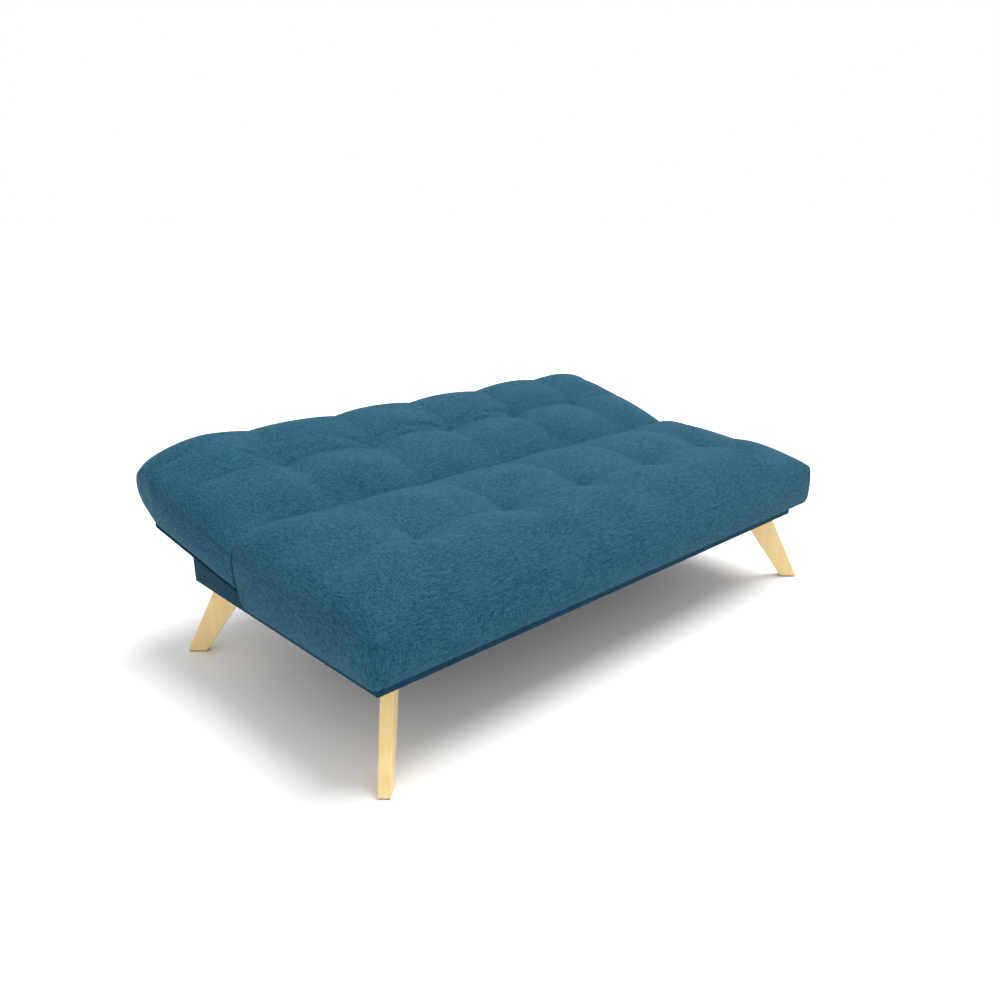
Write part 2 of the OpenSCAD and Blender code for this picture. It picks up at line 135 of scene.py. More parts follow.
class Shader:
    """A material's node tree with short calls."""

    def __init__(self, name, color, roughness):
        self.mat = bpy.data.materials.new(name)
        self.mat.use_nodes = True
        self.mat.diffuse_color = (*color, 1)
        self.tree = self.mat.node_tree
        self.bsdf = self.tree.nodes["Principled BSDF"]
        self.bsdf.inputs["Base Color"].default_value = (*color, 1)
        self.bsdf.inputs["Roughness"].default_value = roughness

    def node(self, kind, **values):
        n = self.tree.nodes.new(kind)
        for key, value in values.items():
            if hasattr(n, key):
                setattr(n, key, value)
            else:
                n.inputs[key.replace("_", " ")].default_value = value
        return n

    def link(self, a, b):
        self.tree.links.new(a, b)

    def stretched(self, scale, seed=(0, 0, 0), detail=2.0, roughness=0.5):
        """Noise over object coordinates, drawn out along the axes with small scales."""
        place = self.node("ShaderNodeMapping")
        place.inputs["Scale"].default_value = scale
        place.inputs["Location"].default_value = seed
        self.link(self.coords().outputs["Object"], place.inputs["Vector"])
        noise = self.node("ShaderNodeTexNoise", Scale=1.0, Detail=detail, Roughness=roughness)
        self.link(place.outputs["Vector"], noise.inputs["Vector"])
        return noise.outputs["Fac"]

    def coords(self):
        if not hasattr(self, "_coords"):
            self._coords = self.node("ShaderNodeTexCoord")
        return self._coords

    def math(self, operation, a, b=None, clamp=False):
        n = self.node("ShaderNodeMath", operation=operation, use_clamp=clamp)
        for socket, value in zip(n.inputs, (a, b)):
            if value is None:
                continue
            if isinstance(value, (int, float)):
                socket.default_value = value
            else:
                self.link(value, socket)
        return n.outputs[0]

    def span(self, value, low, high, to_low=0.0, to_high=1.0):
        n = self.node("ShaderNodeMapRange")
        self.link(value, n.inputs["Value"])
        for key, v in zip(("From Min", "From Max", "To Min", "To Max"), (low, high, to_low, to_high)):
            n.inputs[key].default_value = v
        return n.outputs["Result"]

    def mix(self, fac, a, b):
        n = self.node("ShaderNodeMix", data_type="RGBA")
        if isinstance(fac, (int, float)):
            n.inputs["Factor"].default_value = fac
        else:
            self.link(fac, n.inputs["Factor"])
        for socket, value in zip((n.inputs["A"], n.inputs["B"]), (a, b)):
            if isinstance(value, tuple):
                socket.default_value = (*value, 1)
            else:
                self.link(value, socket)
        return n.outputs["Result"]

    def bump(self, height, strength, distance):
        n = self.node("ShaderNodeBump", Strength=strength, Distance=distance)
        self.link(height, n.inputs["Height"])
        self.link(n.outputs["Normal"], self.bsdf.inputs["Normal"])

    def set(self, **values):
        for key, value in values.items():
            self.bsdf.inputs[key.replace("_", " ")].default_value = value


def woven(name, dark, light, bump=0.5):
    """Linen-look cloth: slubbed threads along the two directions of each face."""
    s = Shader(name, light, 0.92)
    split = s.node("ShaderNodeSeparateXYZ")
    s.link(s.coords().outputs["Normal"], split.inputs[0])
    thick, thin = 620.0, 48.0
    along_x = s.stretched((thin, thick, thick), (3, 1, 7))
    along_y = s.stretched((thick, thin, thick), (5, 8, 2))
    along_z = s.stretched((thick, thick, thin), (9, 4, 6))
    up = s.math("ABSOLUTE", split.outputs["Z"])
    side = s.math("ABSOLUTE", split.outputs["X"])
    facing_up = s.span(up, 0.45, 0.75)
    facing_side = s.span(side, 0.55, 0.8)
    warp = s.mix(facing_up, along_z, along_y)
    weft = s.mix(facing_side, along_x, along_y)
    threads = s.math("MULTIPLY", s.math("ADD", warp, weft), 0.5)
    slub = s.stretched((150.0, 150.0, 150.0), (2, 2, 2), detail=3.0, roughness=0.6)
    cloudy = s.stretched((9.0, 9.0, 9.0), (1, 6, 3), detail=3.0)
    tone = s.math("ADD", s.math("MULTIPLY", threads, 0.74), s.math("MULTIPLY", slub, 0.18))
    tone = s.math("ADD", tone, s.math("MULTIPLY", cloudy, 0.08))
    fac = s.span(tone, 0.42, 0.58)
    s.link(s.mix(fac, dark, light), s.bsdf.inputs["Base Color"])
    fine = s.math("ADD", threads, s.math("MULTIPLY", slub, 0.5))
    s.bump(fine, bump, 0.0012)
    s.set(Specular_IOR_Level=0.1, Sheen_Weight=0.06, Sheen_Roughness=0.5)
    s.bsdf.inputs["Sheen Tint"].default_value = (0.55, 0.78, 0.95, 1)
    return s.mat


def thread(name, color):
    s = Shader(name, color, 0.7)
    twist = s.stretched((900.0, 900.0, 900.0), (1, 1, 1))
    s.link(s.mix(twist, tuple(c * 0.6 for c in color), color), s.bsdf.inputs["Base Color"])
    s.bump(twist, 0.3, 0.0003)
    return s.mat


def lacquered_wood(name, pale, deep, along, gloss=0.38):
    """Close-grained light wood; along is the direction of the grain."""
    s = Shader(name, pale, gloss)
    fine = tuple(14.0 if a else 420.0 for a in along)
    broad = tuple(2.0 if a else 46.0 for a in along)
    grain = s.stretched(fine, (3, 5, 1), detail=4.0, roughness=0.65)
    figure = s.stretched(broad, (7, 2, 4), detail=3.0)
    tone = s.math("ADD", s.math("MULTIPLY", grain, 0.45), s.math("MULTIPLY", figure, 0.55))
    s.link(s.mix(s.span(tone, 0.36, 0.68), pale, deep), s.bsdf.inputs["Base Color"])
    s.link(s.span(grain, 0.3, 0.7, gloss - 0.06, gloss + 0.08), s.bsdf.inputs["Roughness"])
    s.bump(grain, 0.12, 0.0006)
    s.set(Specular_IOR_Level=0.45, Coat_Weight=0.15, Coat_Roughness=0.3)
    return s.mat


def zinc_steel(name):
    s = Shader(name, (0.42, 0.43, 0.45), 0.38)
    spangle = s.stretched((110.0, 110.0, 110.0), (4, 4, 4), detail=3.0)
    s.link(s.mix(spangle, (0.30, 0.31, 0.33), (0.52, 0.53, 0.55)), s.bsdf.inputs["Base Color"])
    s.link(s.span(spangle, 0.3, 0.7, 0.28, 0.5), s.bsdf.inputs["Roughness"])
    s.bump(spangle, 0.08, 0.0005)
    s.set(Metallic=0.9)
    return s.mat


def pressed_felt(name, dark, light):
    s = Shader(name, light, 0.95)
    fibres = s.stretched((700.0, 700.0, 700.0), (2, 9, 5), detail=4.0, roughness=0.7)
    s.link(s.mix(fibres, dark, light), s.bsdf.inputs["Base Color"])
    s.bump(fibres, 0.5, 0.001)
    s.set(Sheen_Weight=0.2)
    return s.mat


def make_materials():
    return {
        "cover": woven("cover_fabric", (0.003, 0.038, 0.066), (0.024, 0.108, 0.166)),
        # the base cloth is the cover's weave painted darker: painted shade of the seat's overhang, also
        # used on the backrest's underside
        "base": woven("base_fabric", (0.002, 0.024, 0.046), (0.009, 0.050, 0.084)),
        "thread": thread("seam_thread", (0.010, 0.055, 0.090)),
        "leg": lacquered_wood("leg_wood", (0.88, 0.68, 0.33), (0.80, 0.55, 0.23), (0, 0, 1)),
        "pine": lacquered_wood("frame_wood", (0.66, 0.48, 0.27), (0.50, 0.32, 0.15), (1, 0, 0), 0.7),
        "steel": zinc_steel("zinc_steel"),
        "felt": pressed_felt("felt", (0.05, 0.05, 0.052), (0.15, 0.15, 0.155)),
        "dust": pressed_felt("dust_cloth", (0.008, 0.008, 0.009), (0.03, 0.03, 0.032)),
    }


# ---------------------------------------------------------------- mesh helpers


def new_object(name, mesh):
    piece = bpy.data.objects.new(name, mesh)
    bpy.context.scene.collection.objects.link(piece)
    return piece


def coordinates(mesh):
    co = np.empty(len(mesh.vertices) * 3)
    mesh.vertices.foreach_get("co", co)
    return co.reshape(-1, 3)


def set_coordinates(mesh, co):
    mesh.vertices.foreach_set("co", co.astype(np.float32).ravel())
    mesh.update()


def smooth_shade(mesh, on=True):
    mesh.polygons.foreach_set("use_smooth", [on] * len(mesh.polygons))


def apply_modifiers(piece):
    bpy.context.view_layer.update()
    made = bpy.data.meshes.new_from_object(
        piece.evaluated_get(bpy.context.evaluated_depsgraph_get()))
    piece.modifiers.clear()
    old, piece.data = piece.data, made
    bpy.data.meshes.remove(old)
    return piece


def finish_piece(piece, material, body=None, nodes=()):
    piece.data.materials.clear()
    piece.data.materials.append(material)
    if body:
        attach(piece, body)
    if nodes:
        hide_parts(*nodes)
    return piece


def box_grid(name, xs, ys, levels, shape):
    """A closed box skin on grid lines; shape turns (x, y, level 0..1) into places."""
    nx, ny, nz = len(xs) - 1, len(ys) - 1, len(levels) - 1
    index, plain = {}, []

    def vertex(i, j, k):
        key = (i, j, k)
        if key not in index:
            index[key] = len(plain)
            plain.append((xs[i], ys[j], levels[k]))
        return index[key]

    faces = []
    for i in range(nx):
        for j in range(ny):
            for k, flip in ((0, True), (nz, False)):
                quad = [vertex(i, j, k), vertex(i + 1, j, k), vertex(i + 1, j + 1, k), vertex(i, j + 1, k)]
                faces.append(quad[::-1] if flip else quad)
    for k in range(nz):
        for i in range(nx):
            for j, flip in ((0, False), (ny, True)):
                quad = [vertex(i, j, k), vertex(i + 1, j, k), vertex(i + 1, j, k + 1), vertex(i, j, k + 1)]
                faces.append(quad[::-1] if flip else quad)
        for j in range(ny):
            for i, flip in ((0, True), (nx, False)):
                quad = [vertex(i, j, k), vertex(i, j + 1, k), vertex(i, j + 1, k + 1), vertex(i, j, k + 1)]
                faces.append(quad[::-1] if flip else quad)
    plain = np.array(plain)
    mesh = bpy.data.meshes.new(name)
    mesh.from_pydata(shape(plain).tolist(), [], faces)
    mesh.validate()
    return new_object(name, mesh), plain


def round_plan(x, y, x_in, y_lo, y_hi, r_lo, r_hi):
    """Rounds the corners of a rectangle: r_lo at its front corners and r_hi at its rear ones."""
    x, y = x.copy(), y.copy()
    for r, edge, sign in ((r_lo, y_lo, -1), (r_hi, y_hi, 1)):
        cx, cy = x_in - r, edge - sign * r
        dx, dy = np.abs(x) - cx, sign * (y - cy)
        corner = (dx > 0) & (dy > 0)
        big = np.maximum(dx, dy)
        scale = np.where(corner, big / np.maximum(np.hypot(dx, dy), 1e-9), 1)
        x = np.where(corner, np.sign(x) * (cx + dx * scale), x)
        y = np.where(corner, cy + sign * dy * scale, y)
    return x, y


# ---------------------------------------------------------------- tufting


def ridge(t, power):
    """0 on a sewn line and 1 midway between two, with a crease where it is 0."""
    return np.abs(np.sin(math.pi * t)) ** power


def shoulder(distance, width, power):
    """0 at an edge, rising to 1 at width: the round shoulder of a stuffed edge."""
    return np.sin(math.pi / 2 * np.clip(distance / width, 0, 1)) ** power


def soft_waves(x, y, seed, size):
    """Slow, even unevenness of hand-laid filling."""
    rng = np.random.default_rng(seed)
    total = np.zeros_like(x)
    for _ in range(9):
        kx, ky = rng.uniform(-17, 17), rng.uniform(-17, 17)
        total += np.sin(kx * x + ky * y + rng.uniform(0, 2 * math.pi))
    return size * total / 3


def column_crease(x):
    """1 on a column's crease, 0 midway between two and outside the last ones."""
    return np.where(np.abs(x) > HALF_W - COLUMN / 2, 0, 1 - ridge(x / COLUMN, CREASE_POWER))


def puckers(x, along, seed):
    """Short gathers that fan out from each sewn point; along is the distance to the row."""
    nearest = np.round(x / COLUMN) * COLUMN
    dx = x - nearest
    r = np.hypot(dx, along)
    angle = np.arctan2(along, dx)
    fan = np.cos(7 * angle + 2.3 * nearest / COLUMN + seed) + 0.6 * np.cos(4 * angle + nearest * seed)
    inside = np.abs(nearest) < HALF_W - COLUMN / 2
    return PUCKER * fan * inside * np.clip(r / 0.018, 0, 1) * np.exp(-((r / 0.055) ** 2))


def tuft_depth(x, along, row, gap_fade, fade, seed):
    """How deep the top lies under its crown, in metres.

    row is 1 on the sewn row and 0 away from it, gap_fade thins creases there, fade is where
    creases run, and along is the distance from the row."""
    crease = column_crease(x)
    groove = ROW_DEPTH * row * smooth(HALF_W - np.abs(x), 0.0, 0.13)
    column = CREASE_DEPTH * crease * fade * (1 - 0.55 * gap_fade)
    dimple = DIMPLE_DEPTH * crease**1.6 * row**1.3
    return groove + column + dimple + puckers(x, along, seed)


def fold_edge(x):
    """Height of the line where the seat's cover and the backrest's cover meet."""
    side = shoulder(HALF_W - np.abs(x), 0.08, 0.45)
    return FOLD_SIDE_Z + (FOLD_TOP_Z - FOLD_SIDE_Z) * side - 0.003 * column_crease(x)


def half_ridge(t):
    """1 at t = 0, falling to 0 at t = 0.5 as a stuffed channel does."""
    return np.where(t < 0.5, 1 - ridge(np.clip(t, 0, 0.5), CREASE_POWER), 0)


# ---------------------------------------------------------------- seat


def seat_top(x, y):
    side_width = 0.235 - 0.115 * smooth(y, FOLD_Y - 0.17, FOLD_Y - 0.02)
    front = shoulder(y - FRONT_Y, 0.235, 0.60)
    side = shoulder(HALF_W - np.abs(x), side_width, 0.60)
    height = (CROWN_Z + 0.010 - SEAM_Z) * front * side
    t = (y - ROW_SEAT) / (SEAT_END - ROW_SEAT)
    ahead = 1 - np.sin(math.pi / 2 * np.clip(-t * (SEAT_END - ROW_SEAT) / 0.13, 0, 1)) ** 0.8
    row = np.where(t < 0, ahead, half_ridge(np.clip(t, 0, 1)))
    fold = half_ridge(np.clip(1 - t, 0, 1))
    fade = 1 - smooth(ROW_SEAT - y, 0.0, 0.16)
    low = tuft_depth(x, y - ROW_SEAT, row, np.maximum(row, fold), fade, 5)
    low = low + soft_waves(x, y, 5, 0.0016)
    free = SEAM_Z + height - low * np.clip(height / 0.05, 0, 1)
    return free * (1 - fold) + fold_edge(x) * fold


def in_hinge_room(x):
    """1 where a cover's meeting wall is set back for a hinge."""
    return (np.abs(x) > HINGE_X0 - 0.0008) & (np.abs(x) < HINGE_X1 + 0.0008)


def seat_shape(p):
    x, y, level = p.T
    xr, yr = round_plan(x, y, HALF_W, FRONT_Y, SEAT_END, 0.020, 0.0015)
    top = seat_top(xr, yr)
    inside = (1 - smooth(np.abs(x), base_hi.x + 0.0006, base_hi.x + 0.003)) * smooth(
        y, base_lo.y - 0.003, base_lo.y - 0.0006)
    bottom = SKIRT_Z + (POCKET_Z + 0.002 - SKIRT_Z) * inside
    z = bottom + (top - bottom) * level
    wall = np.sin(math.pi * level) ** 0.8
    on_front = y <= FRONT_Y + 1e-6
    on_side = np.abs(x) >= HALF_W - 1e-6
    on_rear = y >= SEAT_END - 1e-6
    tuck = 0.006 * (1 - smooth(z, SKIRT_Z, SKIRT_Z + 0.012)) + SEAM_GROOVE * smooth(level, 0.955, 1.0)
    corner_seam = 0.0022 * np.exp(-(((HALF_W - np.abs(x) - CORNER_SEAM) / 0.004) ** 2))
    yr = yr + on_front * (tuck - 0.004 * wall + corner_seam)
    xr = xr - np.sign(x) * on_side * (tuck - 0.003 * wall * (1 - smooth(y, FOLD_Y - 0.10, FOLD_Y)))
    near_rear = smooth(y, SEAT_END - 0.08, SEAT_END)
    lean = 0.030 * np.clip((SKIRT_Z + 0.078 - z) / 0.078, 0, 1) * near_rear
    back_off = on_rear * 0.0020 * (1 - smooth(level, 0.80, 0.95))
    recess = on_rear * in_hinge_room(x) * (level < 0.93) * 0.042
    return np.stack([xr, yr - lean - back_off - recess, z], 1)


def make_seat():
    xs = lines(-HALF_W, HALF_W, GRID, both_sides(
        base_hi.x + 0.0006, base_hi.x + 0.003, HALF_W - 0.003, *HINGE_LINES,
        *(HALF_W - CORNER_SEAM + d for d in (-0.004, 0, 0.004))))
    ys = lines(FRONT_Y, SEAT_END, GRID, (FRONT_Y + 0.003, base_lo.y - 0.003, base_lo.y - 0.0006,
                                         ROW_SEAT, SEAT_END - 0.003))
    levels = np.array([0, 0.05, 0.12, 0.22, 0.34, 0.46, 0.58, 0.70, 0.80, 0.88, 0.94, 0.975, 1])
    piece, plain = box_grid("seat_cover", xs, ys, levels, seat_shape)
    x, y, level = plain.T
    on_top = level > 0.99
    on_row = (np.abs(y - ROW_SEAT) < 0.006) & on_top & (np.abs(x) < HALF_W - ROW_MARGIN)
    on_dimple = on_row & (column_crease(x) > 0.75)
    fixed = (level < 0.10) | (y > SEAT_END - 0.008) | (y > SEAT_END - 0.05) & (level < 0.95)
    seam = ((y < FRONT_Y + 1e-6) | (np.abs(x) > HALF_W - 1e-6)) & on_top
    held = np.select([fixed | on_dimple, seam, on_row], [1.0, 0.9, 0.8], 0.0)
    return piece, held


# ---------------------------------------------------------------- backrest, in its tilted frame


def to_place(x, v, w):
    c, s = math.cos(TILT), math.sin(TILT)
    return np.stack([x, BACK_Y + v * c - w * s, BACK_Z + v * s + w * c], 1)


def back_top(x, v):
    """Height of the top above the underside, along the tilted frame's own axis."""
    crown = 0.176 + 0.037 * shoulder(v, 0.40, 1.0)
    edge = 0.098 + 0.020 * smooth(v, 0.0, 0.30)
    side = shoulder(HALF_W - np.abs(x), 0.20, 0.5)
    t = v / ROW_BACK
    behind = 1 - np.sin(math.pi / 2 * np.clip((v - ROW_BACK) / 0.13, 0, 1)) ** 0.8
    row = np.where(t > 1, behind, half_ridge(np.clip(1 - t, 0, 1)))
    fold = half_ridge(np.clip(t, 0, 1))
    fade = 1 - 0.30 * smooth(v, ROW_BACK + 0.05, BACK_END)
    low = tuft_depth(x, v - ROW_BACK, row, np.maximum(row, fold), fade, 11)
    low = low + soft_waves(x, v, 11, 0.0018)
    free = edge + (crown - edge) * side - low * (0.15 + 0.85 * side)
    meet = (fold_edge(x) - BACK_Z) * math.cos(TILT)
    return free * (1 - fold) + meet * fold


def back_shape(p):
    x, v, level = p.T
    xr, vr = round_plan(x, v, HALF_W, 0.0, BACK_END, 0.0015, 0.045)
    top = back_top(xr, vr)
    hollow = 1 - smooth(np.abs(x), BACK_POCKET_X, BACK_POCKET_X + POCKET_STEP)
    hollow *= smooth(v, BACK_POCKET_V0, BACK_POCKET_V0 + POCKET_STEP)
    hollow *= 1 - smooth(v, BACK_POCKET_V1, BACK_POCKET_V1 + POCKET_STEP)
    bottom = BACK_POCKET_W * hollow
    w = bottom + (top - bottom) * level
    on_front = v <= 1e-6
    on_rear = v >= BACK_END - 1e-6
    on_side = np.abs(x) >= HALF_W - 1e-6
    half = top / 2
    round_end = np.sqrt(np.clip(1 - ((w - half) / half) ** 2, 0, 1))
    pinch = 1 - 0.07 * column_crease(x) * smooth(level, 0.15, 0.6)
    vr = vr + on_rear * END_R * round_end * pinch
    upright = w * math.tan(TILT) * (1 - smooth(v, 0.0, 0.10))
    meet = (BACK_Y - BACK_START) * smooth(level, 0.80, 0.95) * (1 - smooth(v, 0.0, 0.02))
    recess = on_front * in_hinge_room(x) * smooth(level, 0.15, 0.25) * (level < 0.96) * 0.020
    wall = np.sin(math.pi * np.clip(w / np.maximum(top, 1e-6), 0, 1))
    tuck = 0.014 * (1 - smooth(w, 0.0, 0.030)) ** 1.5 + SEAM_GROOVE * smooth(level, 0.97, 1.0)
    spread = BACK_FLARE * np.clip(vr / 0.46, 0, 1) * np.clip((np.abs(x) - 0.6) / 0.3, 0, 1)
    away = on_side * (tuck - 0.005 * wall * smooth(v, 0.0, 0.10))
    xr = xr + np.sign(x) * (spread - away)
    return to_place(xr, vr + upright - meet + recess, w)


def make_back():
    xs = lines(-HALF_W, HALF_W, GRID, both_sides(
        BACK_POCKET_X, BACK_POCKET_X + POCKET_STEP, HALF_W - 0.003, *HINGE_LINES))
    vs = lines(0, BACK_END, GRID, (0.003, BACK_POCKET_V0, BACK_POCKET_V0 + POCKET_STEP, ROW_BACK,
                                   BACK_POCKET_V1, BACK_POCKET_V1 + POCKET_STEP))
    levels = (1 - np.cos(np.linspace(0, math.pi, 19))) / 2
    piece, plain = box_grid("back_cover", xs, vs, levels, back_shape)
    x, v, level = plain.T
    on_row = (np.abs(v - ROW_BACK) < 0.006) & (level > 0.99) & (np.abs(x) < HALF_W - ROW_MARGIN)
    on_dimple = on_row & (column_crease(x) > 0.75)
    fixed = (level < 0.02) & (v < BACK_END - 0.01) | (v < 0.008) | (v < 0.03) & (level < 0.95)
    seam = (np.abs(x) > HALF_W - 1e-6) & (level > 0.99)
    held = np.select([fixed | on_dimple, seam, on_row], [1.0, 0.9, 0.8], 0.0)
    return piece, held


def puff_up(piece, held):
    """Inflates a cover with the cloth solver and limits how far a point may move."""
    start = coordinates(piece.data)
    group = piece.vertex_groups.new(name="held")
    for weight in sorted(set(np.round(held, 1))):
        if weight > 0:
            group.add(np.flatnonzero(np.round(held, 1) == weight).tolist(), float(weight), "REPLACE")
    cloth = piece.modifiers.new("Cloth", "CLOTH")
    setting = cloth.settings
    setting.quality = 4
    setting.mass = 0.3
    setting.tension_stiffness = 12
    setting.compression_stiffness = 12
    setting.shear_stiffness = 4
    setting.bending_stiffness = 0.4
    setting.use_pressure = True
    setting.uniform_pressure_force = PUFF_PRESSURE
    setting.effector_weights.gravity = 0
    setting.vertex_group_mass = "held"
    cloth.collision_settings.use_collision = False
    scene = bpy.context.scene
    for f in range(1, PUFF_FRAMES + 1):
        scene.frame_set(f)
    apply_modifiers(piece)
    piece.vertex_groups.clear()
    scene.frame_set(1)
    move = coordinates(piece.data) - start
    length = np.linalg.norm(move, axis=1, keepdims=True)
    move *= np.minimum(1, PUFF_CAP / np.maximum(length, 1e-9))
    set_coordinates(piece.data, start + move)


def refine(piece):
    subdivision = piece.modifiers.new("Subdivision", "SUBSURF")
    subdivision.levels = subdivision.render_levels = 1
    apply_modifiers(piece)
    smooth_shade(piece.data)


def blend_at_fold(piece):
    """Bakes a cover's placement into its mesh."""
    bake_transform(piece)


def tubes(name, paths, radius, sides=5):
    """One mesh of thin closed tubes, each through its own row of points."""
    verts, faces = [], []
    turn = 2 * math.pi * np.arange(sides) / sides
    for path in paths:
        path = np.asarray(path)
        along = np.gradient(path, axis=0)
        along /= np.linalg.norm(along, axis=1, keepdims=True)
        side = np.cross(along, (0.31, 0.17, 0.93))
        side /= np.linalg.norm(side, axis=1, keepdims=True)
        other = np.cross(along, side)
        first = len(verts)
        for q, a, b in zip(path, side, other):
            verts.extend(q + radius * (math.cos(t) * a + math.sin(t) * b) for t in turn)
        for k in range(len(path) - 1):
            base = first + k * sides
            for j in range(sides):
                n = (j + 1) % sides
                faces.append((base + j, base + n, base + sides + n, base + sides + j))
        faces.append(tuple(range(first + sides - 1, first - 1, -1)))
        faces.append(tuple(range(first + (len(path) - 1) * sides, first + len(path) * sides)))
    mesh = bpy.data.meshes.new(name)
    mesh.from_pydata([tuple(map(float, v)) for v in verts], [], faces)
    mesh.validate()
    smooth_shade(mesh)
    return new_object(name, mesh)


def surface_tree(piece):
    mesh = piece.data
    return BVHTree.FromPolygons([v.co for v in mesh.vertices], [tuple(q.vertices) for q in mesh.polygons])


def stitch_paths(tree, origins, direction):
    """Short threads laid on the surface where rays from the origins meet it."""
    hits = [tree.ray_cast(Vector(o), Vector(direction)) for o in origins]
    place = np.array([h[0] for h in hits if h[0] is not None])
    normal = np.array([h[1] for h in hits if h[0] is not None])
    run = np.concatenate([[0], np.cumsum(np.linalg.norm(np.diff(place, axis=0), axis=1))])
    share = np.array([0, 0.15, 0.5, 0.85, 1])
    lift = THREAD_R * np.array([-1.2, 0.5, 0.9, 0.5, -1.2])
    paths = []
    for k in range(int(run[-1] / STITCH_PITCH)):
        at = k * STITCH_PITCH + STITCH * share
        q = np.stack([np.interp(at, run, place[:, i]) for i in range(3)], 1)
        n = np.stack([np.interp(at, run, normal[:, i]) for i in range(3)], 1)
        n /= np.linalg.norm(n, axis=1, keepdims=True)
        paths.append(q + n * lift[:, None])
    return paths


def sew_seat(seat, materials):
    """Top-stitching under the border seam, twin rows at the front corners, and the tufted row."""
    tree = surface_tree(seat)
    outside, low = 0.1, SEAM_Z - 0.0065  # the rays start outside the cover, under its border seam
    paths = []
    xs = np.arange(-HALF_W + 0.034, HALF_W - 0.034, STITCH_RAY_STEP)
    paths += stitch_paths(tree, [(x, FRONT_Y - outside, low) for x in xs], (0, 1, 0))
    ys = np.arange(FRONT_Y + 0.024, FOLD_Y - 0.11, STITCH_RAY_STEP)
    zs = np.arange(SKIRT_Z + 0.008, SEAM_Z - 0.008, STITCH_RAY_STEP)
    for s in (-1, 1):
        paths += stitch_paths(tree, [(s * (HALF_W + outside), y, low) for y in ys], (-s, 0, 0))
        for d in (-0.0045, 0.0045):
            x = s * (HALF_W - CORNER_SEAM + d)
            paths += stitch_paths(tree, [(x, FRONT_Y - outside, z) for z in zs], (0, 1, 0))
    xs = np.arange(-HALF_W + ROW_MARGIN, HALF_W - ROW_MARGIN, STITCH_RAY_STEP)
    paths += stitch_paths(tree, [(x, ROW_SEAT, CROWN_Z + outside) for x in xs], (0, 0, -1))
    piece = tubes("seat_stitching", paths, THREAD_R)
    finish_piece(piece, materials["thread"], "base")


def sew_back(back, materials):
    tree = surface_tree(back)
    up = Vector((0, -math.sin(TILT), math.cos(TILT)))
    xs = np.arange(-HALF_W + ROW_MARGIN, HALF_W - ROW_MARGIN, STITCH_RAY_STEP)
    outside_x, outside_w = 1.1, 0.35
    above = to_place(xs, np.full_like(xs, ROW_BACK), np.full_like(xs, outside_w))
    paths = stitch_paths(tree, above, -up)
    vs = np.arange(0.13, BACK_END, STITCH_RAY_STEP)
    for s in (-1, 1):
        beside = to_place(np.full_like(vs, s * outside_x), vs, 0.091 + 0.020 * smooth(vs, 0.0, 0.30))
        paths += stitch_paths(tree, beside, (-s, 0, 0))
    piece = tubes("back_stitching", paths, THREAD_R)
    finish_piece(piece, materials["thread"], "backrest")


def upholster(materials):
    for make, sew, node, lift in ((make_seat, sew_seat, "seat_cushion", 2.6),
                                  (make_back, sew_back, "back_cushion", -3.2)):
        piece, held = make()
        puff_up(piece, held)
        refine(piece)
        finish_piece(piece, materials["cover"], nodes=[node])
        sew(piece, materials)
        blend_at_fold(piece)


# ---------------------------------------------------------------- base wrap and dust covers


def rail_top(y):
    """Height of the side rails' top, which rises under the backrest."""
    rise = BACK_Z + (y - BACK_Y) * math.tan(TILT) - 0.005
    t = min(1, max(0, (y - BACK_Y) / WRAP_STEP_Y))
    return base_hi.z + (rise - base_hi.z) * t


def wrap_outline():
    """Points round the base's outside: place, outward direction, and a corner's centre and side or None."""
    x1, y0, y1, r = base_hi.x, base_lo.y, side_hi.y, WRAP_CORNER_R
    corners = [(np.array((sx * (x1 - r), edge - sy * r)), (sx, sy), start) for sx, sy, edge, start in (
        (1, -1, y0, -90), (1, 1, y1, 0), (-1, 1, y1, 90), (-1, -1, y0, 180))]
    loop = []
    for k, (centre, side, start) in enumerate(corners):
        for a in np.radians(start + np.linspace(0, 90, 5)):
            n = np.array((math.cos(a), math.sin(a)))
            loop.append((centre + r * n, n, (centre, np.array(side))))
        a, b = loop[-1][0], corners[(k + 1) % 4][0] + r * n
        stops = list(np.linspace(0, 1, 60)[1:-1])
        if abs(n[0]) > 0.5:
            stops += [(y - a[1]) / (b[1] - a[1]) for y in (BACK_Y, BACK_Y + WRAP_STEP_Y)]
        loop += [(a + (b - a) * t, n, None) for t in sorted(stops)]
    return loop


def turned_in(point, outward, corner, depth):
    """A point of the wrap moved inward by depth; past a corner's radius it lies on the mitre."""
    if corner and depth > WRAP_CORNER_R:
        centre, side = corner
        return centre - (depth - WRAP_CORNER_R) * side
    return point - depth * outward


def merge_close(mesh):
    """Joins the points of the hem that fall together on a corner's mitre."""
    edit = bmesh.new()
    edit.from_mesh(mesh)
    bmesh.ops.remove_doubles(edit, verts=edit.verts, dist=0.00002)
    edit.to_mesh(mesh)
    edit.free()


def solid_sheet(piece, thickness, offset):
    solid = piece.modifiers.new("Solidify", "SOLIDIFY")
    solid.thickness, solid.offset = thickness, offset
    apply_modifiers(piece)
    smooth_shade(piece.data)


